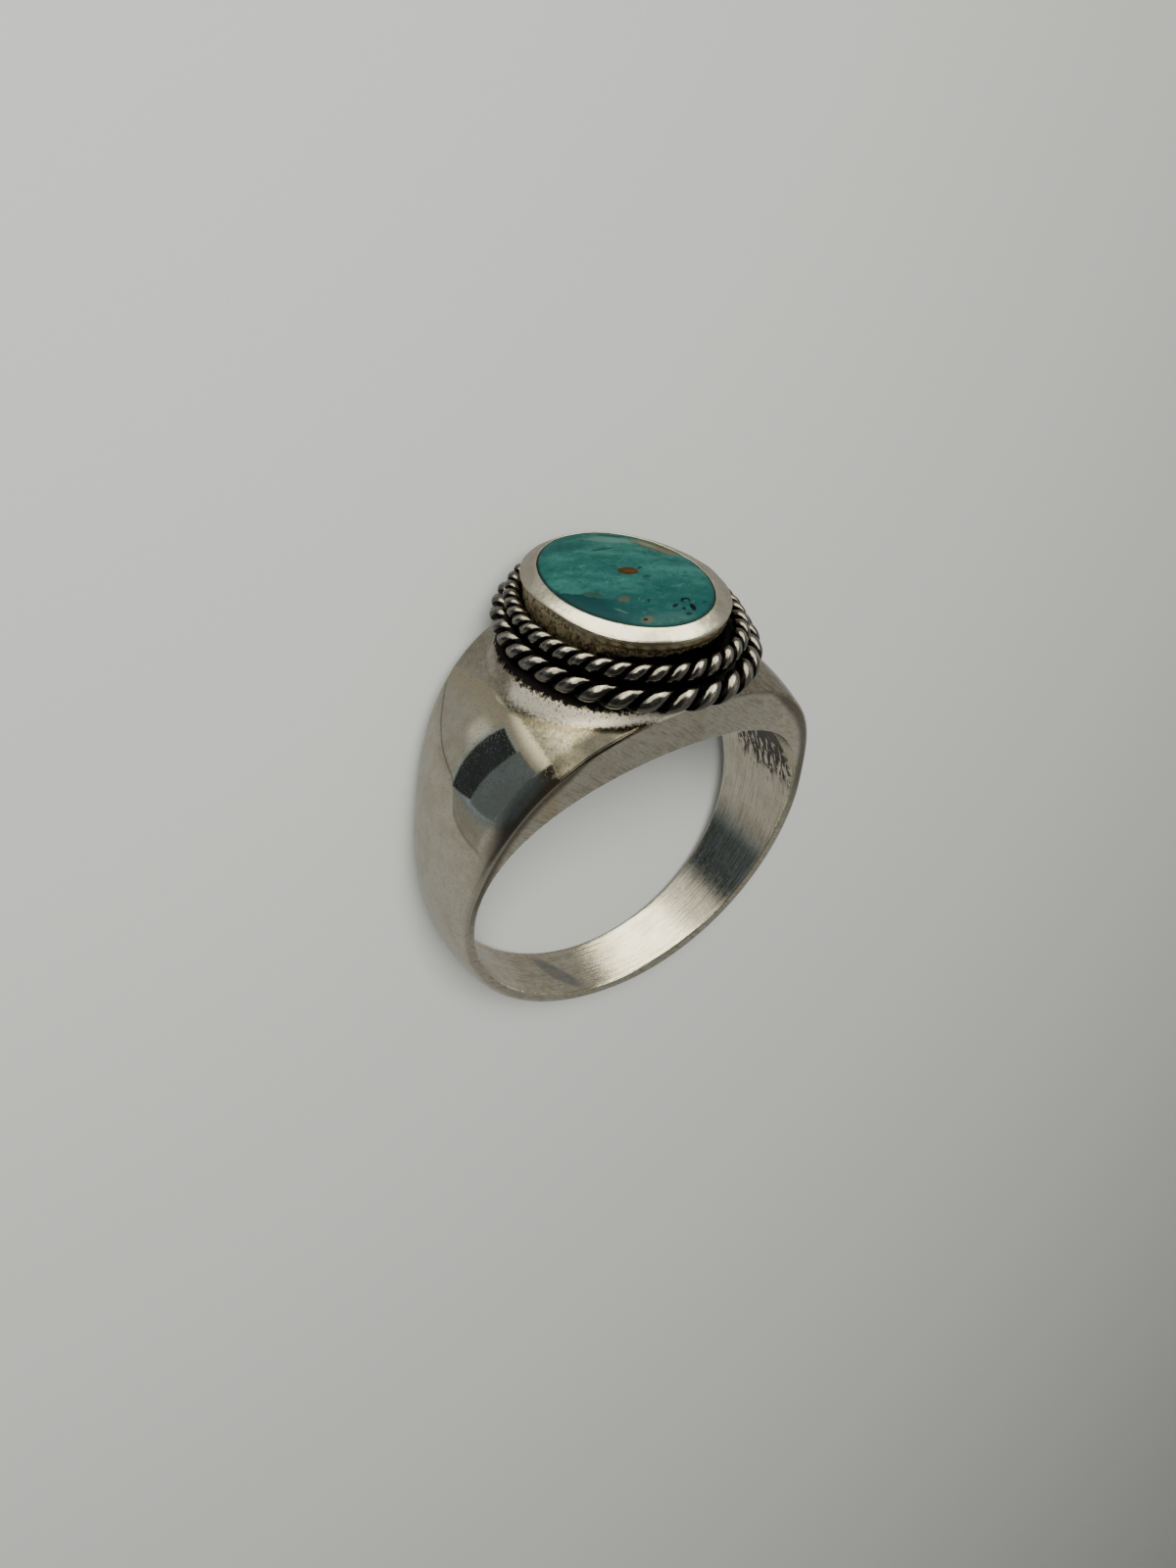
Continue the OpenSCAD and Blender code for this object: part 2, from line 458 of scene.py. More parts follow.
print("the head goes up through", len(HEAD_OVALS), "ovals")


# %% A loft through ovals
def loft_ovals(bm, ovals, segments):
    """Extrudes a circle up through ovals, and returns each oval's loop of edges with its bevel."""
    made = bmesh.ops.create_circle(bm, segments=segments, radius=1.0)
    verts = made["verts"]
    ring = list({edge for vertex in verts for edge in vertex.link_edges})
    now = (1.0, 1.0, 0.0)
    loops = []
    for row, (half_len, half_wid, height, bevel, steps) in enumerate(ovals):
        before = now
        for k in range(1, steps + 1):
            if row:
                grown = bmesh.ops.extrude_edge_only(bm, edges=ring)["geom"]
                ring = [g for g in grown if isinstance(g, bmesh.types.BMEdge)]
                verts = [g for g in grown if isinstance(g, bmesh.types.BMVert)]
            goal = [a + (b - a) * k / steps for a, b in zip(before, (half_len, half_wid, height))]
            bmesh.ops.scale(bm, verts=verts, vec=(goal[1] / now[1], goal[0] / now[0], 1))
            bmesh.ops.translate(bm, verts=verts, vec=(0, 0, goal[2] - now[2]))
            now = tuple(goal)
        loops.append((ring, bevel))
    return loops


def bevel_loops(bm, loops, segments):
    for ring, bevel in loops:
        if bevel > 0:
            bmesh.ops.bevel(bm, geom=ring, offset=bevel, offset_type="OFFSET", segments=segments,
                            profile=0.5, affect="EDGES", material=-1, clamp_overlap=True)


bm = bmesh.new()
loops = loft_ovals(bm, HEAD_OVALS, HEAD_SEGMENTS)
bmesh.ops.contextual_create(bm, geom=loops[0][0])
bmesh.ops.contextual_create(bm, geom=loops[-1][0])
bevel_loops(bm, loops, 3)
print("head of", len(bm.verts), "vertices")

# %% [markdown]
# ## Wear of the head
#
# A hand-pushed bezel is never a perfect oval. The rim waves a little, the wall below it is
# lumpy, the polished band under the rim rises towards the rear, and the rim has one flat
# dent at the left. The height before all that is kept as an attribute, so that the finish
# still knows where the band and the wall are.

# %% Uneven the head
wall_foot, wall_top, slope_foot = 13.1, 14.18, 14.53
RIM_FROM, LUMPS_TO = 14.1, 14.12
RIM_WAVES = ((0.9, 0.025), (3, 0.006))
WALL_LUMPS = ((3.5, 0.035), (9, 0.02))
BAND_RAISED = 0.30
BAND_RAISED_FROM, BAND_RAISED_OVER = 3.6, 3.4
DENT_AT, DENT_SPREAD = 8, 26
DENT_IN, DENT_UP = 0.16, 0.15
DENT_FOOT, DENT_RISE, DENT_FALL = 14.08, 0.1, 0.35
rim_len, rim_wid = 5.58, 4.44


def raised_share(z):
    """The band's top rises most, its foot and the rim's slope stay."""
    if wall_foot < z <= wall_top:
        return (z - wall_foot) / (wall_top - wall_foot)
    if wall_top < z < slope_foot:
        return (slope_foot - z) / (slope_foot - wall_top)
    return 0.0


def dent_share(place):
    around = degrees(atan2(place.y / rim_len, place.x / rim_wid))
    share = exp(-((around - DENT_AT) / DENT_SPREAD) ** 2)
    share *= smooth((place.z - DENT_FOOT) / DENT_RISE)
    return share * smooth((lip_z - place.z) / DENT_FALL)


profile = bm.verts.layers.float.new("profile")
for vertex in bm.verts:
    place = vertex.co.copy()
    vertex[profile] = place.z
    out = Vector((place.x, place.y, 0)).normalized()
    if place.z > RIM_FROM:
        wave = uneven(place, RIM_WAVES)
        vertex.co += out * wave
        vertex.co.z += wave / 2
    if wall_foot < place.z < LUMPS_TO:
        vertex.co += out * uneven(place, WALL_LUMPS)
    raised = BAND_RAISED * smooth((BAND_RAISED_FROM - place.y) / BAND_RAISED_OVER)
    vertex.co -= out * DENT_IN * dent_share(place)
    vertex.co.z += raised * raised_share(place.z) + DENT_UP * dent_share(place)
    vertex.co.y += head_shift
head = finish_piece(bm, "bezel", "silver_ring")

# %% [markdown]
# ## The twisted wires
#
# Each rope is a pair of round wires twisted together, bent round the head and soldered down.
# A curve follows the helix of one strand round the oval, its bevel gives the strand its
# thickness, and the mesh of that curve is the strand. The upper rope has a half twist left
# over on its way round, so one strand that goes round twice makes both halves of it.

# %% Strands on their ovals
STRAND_POINTS = 30
STRAND_SHARE = 0.53
ROPES = {
    # half length, half width, height, rope's radius, twists, start of the twist, times round
    "lower_wire": (6.72, 5.26, 12.42, 0.65, 16, 0.30, 1),
    "upper_wire": (6.12, 4.78, 13.42, 0.50, 20.5, 0.36, 2),
}


def even_angle(share, half_len, half_wid):
    """The angle on an oval at an even share of its length round."""
    flatness = (half_len ** 2 - half_wid ** 2) / (half_len ** 2 + half_wid ** 2) / 4
    return 2 * pi * share - flatness * sin(4 * pi * share)


def on_oval(a, half_len, half_wid, height):
    """The place on an oval at an angle, and the direction there that leads outwards."""
    out = Vector((half_len * cos(a), half_wid * sin(a), 0)).normalized()
    return Vector((half_wid * cos(a), half_len * sin(a), height)), out


def strand_mesh(name, rope, phase):
    half_len, half_wid, height, radius, twists, start, rounds = rope
    strand_r = radius * STRAND_SHARE
    reach = radius - strand_r
    count = round(twists * STRAND_POINTS * rounds)
    curve = bpy.data.curves.new(name, "CURVE")
    curve.dimensions = "3D"
    curve.bevel_depth = strand_r
    curve.bevel_resolution = 8
    curve.use_fill_caps = False
    spline = curve.splines.new("POLY")
    spline.points.add(count - 1)
    spline.use_cyclic_u = True
    for i, point in enumerate(spline.points):
        share = rounds * i / count
        centre, out = on_oval(even_angle(share, half_len, half_wid), half_len, half_wid, height)
        twist = 2 * pi * (twists * share + start / 2 + phase)
        point.co = (*(centre + out * reach * cos(twist)), 1)
        point.co.z += reach * sin(twist)
    piece = bpy.data.objects.new(name, curve)
    mesh = bpy.data.meshes.new_from_object(piece)
    bpy.data.objects.remove(piece)
    bpy.data.curves.remove(curve)
    return mesh


print("a third of the way round the lower oval is", round(degrees(even_angle(1 / 3, 6.72, 5.26))))

# %% [markdown]
# ## Wear of the wires
#
# Polishing has flattened the grains on the side that faces up and outwards. Each vertex finds
# the nearest point of its rope's centre line. What stands out past a set share of the radius
# is pressed back, and how far each point still stands out is kept for the finish, where the
# deep places stay black.

# %% Build the wires
POLISH_UP = radians(46)
POLISH_FADE = 0.06
GRAIN_SWELL = 0.035
WORN_FROM = 0.80
WORN_LEFT = 0.60
WIRE_WAVES = ((1.3, 0.015),)
WIRE_SINK = 0.015


def rope_place(co, half_len, half_wid, height):
    """The nearest point of a rope's centre line, and the way outwards there."""
    a = atan2(co.y / half_len, co.x / half_wid)
    for _ in range(3):
        foot = Vector((half_wid * cos(a), half_len * sin(a), 0))
        along = Vector((-half_wid * sin(a), half_len * cos(a), 0))
        a += (Vector((co.x, co.y, 0)) - foot).dot(along) / along.length_squared
    return on_oval(a, half_len, half_wid, height)


def build_rope(name, rope):
    half_len, half_wid, height, radius, *_, rounds = rope
    bm = bmesh.new()
    for phase in ((0, 0.5) if rounds == 1 else (0,)):
        mesh = strand_mesh(name, rope, phase)
        bm.from_mesh(mesh)
        bpy.data.meshes.remove(mesh)
    standing = bm.verts.layers.float.new("standing")
    for vertex in bm.verts:
        foot, out = rope_place(vertex.co, half_len, half_wid, height)
        offset = vertex.co - foot
        share = offset.length / radius
        turned = atan2(offset.z, offset.dot(out)) - POLISH_UP
        turned = (turned + pi) % (2 * pi) - pi
        worn_and_painted_dark = min(share, WORN_FROM + (share - WORN_FROM) * WORN_LEFT) / max(share, 0.01)
        swell = worn_and_painted_dark * (1 - GRAIN_SWELL * turned * turned)
        wave = uneven(vertex.co, WIRE_WAVES) - WIRE_SINK
        vertex.co = foot + offset * swell + offset.normalized() * wave
        vertex[standing] = share - POLISH_FADE * turned * turned
    return finish_piece(bm, name, "silver_ring")


wires = [build_rope(name, rope) for name, rope in ROPES.items()]

# %% [markdown]
# ## The stone
#
# The turquoise is a low dome. It is lofted from ovals too, as a quarter turn of an ellipse,
# and it goes down under the lip so that no gap shows. A scaled sphere would have its rows in
# the wrong places, crowded at the top and not at the edge.

# %% Build the stone
STONE_GAP = 0.012
STONE_DEPTH = 0.5
DOME_START = 0.03
DOME_ROWS = 20
STONE_SEGMENTS = 200
dome_h = stone_top - lip_z
stone_len, stone_wid = open_len - STONE_GAP, open_wid - STONE_GAP

bm = bmesh.new()
dome = [(stone_len, stone_wid, lip_z - STONE_DEPTH, 0, 1)]
for k in range(DOME_ROWS):
    q = radians(90 * k / DOME_ROWS)
    height = lip_z - DOME_START + dome_h * sin(q)
    dome.append((stone_len * cos(q), stone_wid * cos(q), height, 0, 1))
loops = loft_ovals(bm, dome, STONE_SEGMENTS)
bmesh.ops.contextual_create(bm, geom=loops[0][0])
top = bmesh.ops.contextual_create(bm, geom=loops[-1][0])["faces"]
bmesh.ops.poke(bm, faces=top)
bmesh.ops.translate(bm, verts=bm.verts[:], vec=(0, head_shift, 0))
stone = finish_piece(bm, "stone", "turquoise")

# %% [markdown]
# ## Shader maths as plain expressions
#
# A Wire is one output of a node. Adding or multiplying wires adds the Math nodes, and one
# method adds any other node: it takes the node's type, its settings and its sockets. Colours
# go through the Mix node, whose colour sockets are numbers 6 and 7 and whose colour output is
# number 2, because several of its sockets share one name.


# %% The wire class
class Wire:
    def __init__(self, tree, socket):
        self.tree = tree
        self.socket = socket

    def node(self, kind, settings=None, sockets=None, out=0):
        """Adds a node with its settings and sockets, and returns the wire of one of its outputs."""
        made = self.tree.nodes.new(kind)
        for name, value in (settings or {}).items():
            setattr(made, name, value)
        for name, value in (sockets or {}).items():
            if isinstance(value, Wire):
                self.tree.links.new(value.socket, made.inputs[name])
            else:
                made.inputs[name].default_value = value
        return Wire(self.tree, made.outputs[out])

    def math(self, operation, *values):
        return self.node("ShaderNodeMath", {"operation": operation}, dict(enumerate(values)))

    def __add__(self, other):
        return self.math("ADD", self, other)

    def __sub__(self, other):
        return self.math("SUBTRACT", self, other)

    def __rsub__(self, other):
        return self.math("SUBTRACT", other, self)

    def __mul__(self, other):
        return self.math("MULTIPLY", self, other)

    def __truediv__(self, other):
        return self.math("DIVIDE", self, other)

    def __pow__(self, other):
        return self.math("POWER", self, other)

    def __abs__(self):
        return self.math("ABSOLUTE", self)

    __radd__ = __add__
    __rmul__ = __mul__

    def step(self, low, high):
        """A soft step from 0 at low to 1 at high, which may be the smaller number."""
        if low > high:
            return 1 - self.step(high, low)
        return self.node("ShaderNodeMapRange", {"interpolation_type": "SMOOTHSTEP"},
                         {"Value": self, "From Min": low, "From Max": high})

    def higher(self, other):
        return self.math("MAXIMUM", self, other)

    def lower(self, other):
        return self.math("MINIMUM", self, other)


def mix_colors(share, first, second):
    return share.node("ShaderNodeMix", {"data_type": "RGBA"}, {0: share, 6: first, 7: second}, out=2)


def layered(color, layers):
    """Lays colours over a first one, each by its share."""
    for share, paint in layers:
        color = mix_colors(share, color, paint)
    return color


print("operators:", [name for name in vars(Wire) if name.startswith("__r")])

# %% [markdown]
# ## Places and patterns
#
# A pattern should sit on the upright ring, so one Mapping node takes the object's place back
# to the ring's own millimetres. Patterns are noise, drawn out in one direction for scratches.
# What the meshes carry as attributes is read by name.


# %% Places and patterns
def ring_place(tree):
    """The shaded point in the upright ring's millimetres."""
    place = Wire(tree, None).node("ShaderNodeTexCoord", out="Object")
    return place.node("ShaderNodeMapping", {"vector_type": "TEXTURE"},
                      {"Vector": place, "Location": laid.to_translation(), "Rotation": turn.to_euler(),
                       "Scale": (MM, MM, MM)})


def stored(place, name, out="Fac"):
    """What the mesh carries under a name."""
    return place.node("ShaderNodeAttribute", {"attribute_name": name}, out=out)


def split(vector):
    made = vector.node("ShaderNodeSeparateXYZ", None, {"Vector": vector})
    outputs = made.socket.node.outputs
    return [Wire(vector.tree, socket) for socket in outputs]


def grain(place, scale, detail=3.0, roughness=0.55, stretch=(1, 1, 1), turn_deg=(0, 0, 0),
          distortion=0.0):
    """Noise from 0 to 1 with so many features in a millimetre, drawn out by stretch after a turn."""
    turned = place.node("ShaderNodeMapping", {"vector_type": "POINT"},
                        {"Vector": place, "Rotation": Euler([radians(d) for d in turn_deg])})
    scaled = place.node("ShaderNodeVectorMath", {"operation": "MULTIPLY"}, {0: turned, 1: stretch})
    return place.node("ShaderNodeTexNoise", None,
                      {"Vector": scaled, "Scale": scale, "Detail": detail, "Roughness": roughness,
                       "Distortion": distortion})


print("the ring is turned by", [round(degrees(a), 1) for a in turn.to_euler()], "degrees")


# %% Materials and their sockets
def new_material(name):
    material = bpy.data.materials.new(name)
    material.use_nodes = True
    tree = material.node_tree
    return material, tree, tree.nodes["Principled BSDF"]


def plug(tree, shader, values):
    """Links wires and sets numbers on the shader's own sockets."""
    for name, value in values.items():
        if isinstance(value, Wire):
            tree.links.new(value.socket, shader.inputs[name])
        else:
            shader.inputs[name].default_value = value
    print("a finish of", len(tree.nodes), "nodes, with", ", ".join(values))


def bump(height, strength, depth_mm):
    return height.node("ShaderNodeBump", None,
                       {"Height": height, "Strength": strength, "Distance": depth_mm * MM})


SILVER = (0.93, 0.905, 0.75, 1)
SILVER_DULL = (0.76, 0.715, 0.545, 1)
OXIDE = (0.010, 0.009, 0.008, 1)
print("polished silver", SILVER[:3], "and black oxide", OXIDE[:3])

# %% [markdown]
# ## Silver of the shank
#
# Worn silver is a mirror with a warm tint, broken up by fine scratches and a little grain.
# Each mark is a small expression of places and noise, which stays sharp from near by. First
# come the patterns: clouds and patches for the tint, dots and tears for ragged edges, and
# drawn-out noise for scratches and brush lines.

# %% Patterns of the shank
shank_material, tree, shader = new_material("shank_silver")
place = ring_place(tree)
x, y, z = split(place)
wall, bore, foot = split(stored(place, "zone", "Vector"))
edge = stored(place, "front_edge")
outside = (1 - wall) * (1 - bore)
round_angle = place.math("ARCTAN2", z, x) * (180 / pi)

clouds = grain(place, 0.9, detail=5, roughness=0.65)
patches = grain(place, 2.4, detail=5, roughness=0.7)
fine = grain(place, 7, detail=4, roughness=0.65)
speckle = grain(place, 7.5, detail=3, roughness=0.7)
ragged = grain(place, 2.6, detail=5, roughness=0.7)
pits = grain(place, 10, detail=2, roughness=0.6)
brushed = grain(place, 1, detail=4, roughness=0.65, stretch=(0.5, 9, 0.5))
scored = grain(place, 1, detail=4, roughness=0.7, stretch=(1.0, 4.5, 1.0))
scratch_a = grain(place, 1, detail=2, stretch=(0.8, 12, 12), turn_deg=(0, 35, 0)).step(0.64, 0.70)
scratch_b = grain(place, 1, detail=2, stretch=(12, 12, 0.6), turn_deg=(25, 0, 20)).step(0.64, 0.72)
wall_scratch = grain(place, 1, detail=3, roughness=0.6, stretch=(1.2, 3, 11), turn_deg=(0, 40, 0))
dots, tears, hairs = speckle - 0.5, ragged - 0.5, brushed - 0.5
print(len(tree.nodes), "nodes")

# %% [markdown]
# ## Wear and painted light on the shank
#
# Towards the head the back goes from a mirror to a matt grain, with a crisp border at the
# front and a faded one at the rear. A bright streak along that border is a painted highlight.
# The worn left front edge is painted dark, as a painted dark reflection, and painted shade
# lies on the wall just under it. Each mask is a distance that a soft step turns into a share
# from 0 to 1, and dots or tears roughen its border.

# %% Masks of the wear and of painted light
border = abs(x) + dots * 0.25
crisp = border.step(6.48, 6.34)
faded = border.step(7.6, 5.4) * 0.6
matt = (crisp + (faded - crisp) * y.step(0.8, -1.2)) * z.step(4, 6) * outside

# Painted highlight: a bright cream streak along the matt border.
painted_streak = (abs(x) + dots * 0.1).step(6.30, 6.38) * abs(x).step(7.4, 6.7) * z.step(6, 7)

# Painted dark reflection along the worn left front edge.
worn_and_painted_dark_width = 1.25 - 0.2 * x.step(5.2, 6.2) - 0.25 * x.step(7.6, 8.8)
worn_and_painted_dark = (edge + dots * 0.3 - worn_and_painted_dark_width).step(0.0, -0.6)
worn_and_painted_dark = worn_and_painted_dark * x.step(2.8, 4.2) * z.step(1.5, 7.5) * outside

# Painted shade on the wall just under the left front edge.
painted_wall_shade = (edge + tears * 0.2 - 0.45 * abs(x).step(4.2, 6.2)).step(0.35, 0.0)
painted_wall_shade = painted_wall_shade * wall * z.step(-2, 3)
print(len(tree.nodes), "nodes")

# %% [markdown]
# ## Where the shank meets the head
#
# Black oxide fills the corner under the wires. Outside it, on the left front, lies a bright
# frosted band with a brown line round it. The masks read the distance from the head's foot.

# %% Masks of the head's foot
foot_line = foot + dots * 0.5
brown = foot_line.step(0.46, 0.60) * foot_line.step(0.95, 0.72)
brown = brown * outside * (x + ragged * 2).step(0.0, 3.0) * y.step(-1.5, 1.0)

frost = foot_line.step(0.66, 0.36) * outside
frost = frost * (x + ragged * 2).step(-2.0, 1.5) * (y + tears * 1.5).step(-0.5, 0.9)

black = (foot + tears * 0.6 + dots * 0.4).step(0.14, 0.02)
black = black * (1 - wall * z.step(11.6, 11.4)) * (1 - bore)
print(len(tree.nodes), "nodes")

# %% [markdown]
# ## Marks in the finger hole
#
# The hole is brushed round and round. It has one scored dark patch at the right, a painted grey
# reflection at the palm, and a faint gilt tone there. They are windows of the angle round the
# hole and of the place along it, with borders that follow the brush lines.

# %% Masks of the finger hole
# Painted grey reflection near the palm.
painted_grey_reflection_y = y - 0.1
painted_grey_reflection = ((round_angle + 69.7 + 3.4 * painted_grey_reflection_y) / 4) ** 2 + (painted_grey_reflection_y / 1.5) ** 2
painted_grey_reflection = (painted_grey_reflection + hairs * 1.6).step(1.3, 0.4) * bore * y.step(-2.0, -1.0)

gilt = bore * patches.step(0.46, 0.62) * z.step(-2.0, -5.0) * x.step(-2.0, 2.0)

patch = (round_angle + hairs * 30).step(118, 132) * (round_angle + hairs * 26).step(173, 168)
patch = patch * (y + tears * 3).step(-1.5, -0.9) * (y + tears * 2).step(3.3, 2.8) * bore
patch = patch * (scored + 0.10 * round_angle.step(166, 146)).step(0.45, 0.49)
print(len(tree.nodes), "nodes")

# %% [markdown]
# ## Colours of the shank
#
# The colours are laid over each other from the widest to the smallest: tint, wear, scratches,
# the marks of the hole and the walls, the frosted band, and the oxide last of all.

# %% Lay the colours
color = layered(SILVER, (
    (clouds.step(0.40, 0.66) * 0.7, SILVER_DULL),
    (patches.step(0.50, 0.70) * 0.3 * outside, (0.60, 0.56, 0.41, 1)),
    (matt * (0.55 + 0.4 * patches.step(0.35, 0.65)), (0.29, 0.262, 0.172, 1)),
    (brown * 0.5, (0.20, 0.14, 0.075, 1)),
    # painted highlight along the matt border
    (painted_streak * 0.8, (0.88, 0.78, 0.53, 1)),
    # painted shade on the wall under the front edge
    (painted_wall_shade * 0.8, (0.10, 0.088, 0.065, 1)),
    (fine.step(0.50, 0.66) * (0.30 + 0.45 * matt), (0.49, 0.44, 0.32, 1)),
    (matt * pits.step(0.54, 0.64) * 0.7, (0.17, 0.14, 0.085, 1)),
    (scratch_a.higher(scratch_b) * 0.35 * outside, (0.30, 0.27, 0.20, 1)),
    # painted dark reflection on the worn left front edge
    (worn_and_painted_dark * (0.50 + 0.40 * x.step(6.0, 5.0)), (0.045, 0.045, 0.043, 1)),
    (brushed.step(0.50, 0.66) * bore * 0.55, (0.40, 0.35, 0.25, 1)),
    (gilt * 0.5, (0.60, 0.50, 0.30, 1)),
    # painted grey reflection near the palm
    (painted_grey_reflection * 0.6, (0.26, 0.28, 0.30, 1)),
    (patch * 0.95, (0.035, 0.032, 0.030, 1)),
    (wall * wall_scratch.step(0.48, 0.66) * 0.5, (0.42, 0.39, 0.31, 1)),
    (frost * (1 - black), (1.0, 0.94, 0.76, 1)),
    (frost * (pits + 0.55 * foot).step(0.52, 0.46), (0.14, 0.11, 0.06, 1)),
    (frost * fine.step(0.52, 0.62) * 0.45, (0.86, 0.70, 0.44, 1)),
    (frost * pits.step(0.43, 0.35) * 0.6, (0.30, 0.24, 0.14, 1)),
    (black, OXIDE),
))
print(len(tree.nodes), "nodes")

# %% Gloss and relief of the shank
rough = 0.02 + 0.03 * fine + 0.22 * wall + 0.05 * bore + 0.22 * matt + 0.12 * frost
height = (0.04 * fine + 0.12 * scratch_a + 0.12 * scratch_b + 0.25 * matt * speckle) * outside
height = height + brushed * bore * 1.6 + wall_scratch * wall * 0.2 + speckle * frost * 3.0
plug(tree, shader, {"Base Color": color, "Metallic": 1 - 0.3 * frost,
                    "Roughness": (rough + 0.4 * black + 0.3 * patch).lower(0.9),
                    "Normal": bump(height, 0.6, 0.012)})
shank.data.materials.append(shank_material)

# %% [markdown]
# ## Silver of the bezel
#
# The rim is satin, with a duller band under its edge. The wall below is rough and keeps dirt
# in its hollows, and its foot is black. The bounds follow the height that the head had before
# it was made uneven, so they run with the form. Only the oxide follows the true height.


# %% Finish of the bezel
def bezel_silver():
    material, tree, shader = new_material("bezel_silver")
    place = ring_place(tree)
    x, y, z = split(place)
    level = stored(place, "profile")
    clouds = grain(place, 1.1, detail=4)
    fine = grain(place, 6, detail=4, roughness=0.65)
    satin = grain(place, 1.7, detail=6, roughness=0.75)
    rough_grain = grain(place, 5.5, detail=4, roughness=0.8)
    ragged = grain(place, 3.0, detail=5, roughness=0.7)
    band = level.step(14.45, 14.42)
    wall = (level + (rough_grain - 0.5) * 0.3).step(14.22, 14.12)
    black = z + (ragged - 0.5) * 0.6 + 0.09 * x.higher(0) - 0.10 * y.step(2.5, 4.5)
    black = black.step(13.92, 13.84)
    color = layered(SILVER, (
        (clouds.step(0.3, 0.8), SILVER_DULL),
        (band, (0.50, 0.43, 0.30, 1)),
        (wall, (0.66, 0.57, 0.38, 1)),
        (wall * rough_grain.step(0.52, 0.40), (0.08, 0.065, 0.04, 1)),
        (black, OXIDE),
        (satin.step(0.48, 0.68) * 0.5 * (1 - wall) * (1 - black), (0.50, 0.47, 0.38, 1)),
    ))
    rough = (0.12 + 0.22 * satin + 0.12 * band) * (1 - wall) + 0.5 * wall
    height = (fine * 0.9 + satin * 1.8) * (1 - wall) + rough_grain * wall * 4
    plug(tree, shader, {"Base Color": color, "Metallic": 1.0, "Roughness": rough,
                        "Normal": bump(height, 0.6, 0.012)})
    return material


head.data.materials.append(bezel_silver())

# %% [markdown]
# ## Silver of the wires
#
# Both wires were blackened and then polished, so only what stands out is bright. The
# attribute from the build says how far each point stands out: the grooves are oxide, the
# grains grey, and a narrow line on top of each grain is the brightest.


# %% Finish of the wires
def wire_silver():
    material, tree, shader = new_material("wire_silver")
    place = ring_place(tree)
    standing = stored(place, "standing")
    clouds = grain(place, 1.1, detail=3)
    fine = grain(place, 6, detail=3)
    black = (standing + (fine - 0.5) * 0.14).step(0.82, 0.75)
    color = layered((0.30, 0.288, 0.256, 1), (
        (clouds.step(0.3, 0.8), (0.21, 0.197, 0.168, 1)),
        ((standing + (fine - 0.5) * 0.08).step(0.965, 1.0), (0.64, 0.61, 0.54, 1)),
        (black, OXIDE),
    ))
    plug(tree, shader, {"Base Color": color, "Metallic": 1.0,
                        "Roughness": 0.13 + 0.08 * fine + 0.3 * black,
                        "Normal": bump(fine, 0.5, 0.008)})
    return material


wire_finish = wire_silver()
for wire in wires:
    wire.data.materials.append(wire_finish)

# %% [markdown]
# ## Turquoise
#
# The stone is a soft blue-green with paler bands, a darker cloud at one end, an olive patch of
# matrix, a rust fleck near the middle and a few black pits. The bands come from stretched
# noise. The marks are placed one by one, each as a small oval whose edge the noise breaks up.

# %% Colours and marks of the stone
TEAL = (0.011, 0.088, 0.076, 1)
TEAL_PALE = (0.034, 0.148, 0.126, 1)
TEAL_DEEP = (0.005, 0.040, 0.044, 1)
TEAL_END = (0.003, 0.034, 0.038, 1)
PALE = (0.13, 0.23, 0.185, 1)
RUST = (0.046, 0.021, 0.005, 1)
RUST_PALE = (0.10, 0.045, 0.010, 1)
OLIVE = (0.118, 0.118, 0.068, 1)
TAN = (0.10, 0.085, 0.05, 1)
PIT = (0.002, 0.003, 0.003, 1)
MOSS = (0.022, 0.040, 0.024, 1)
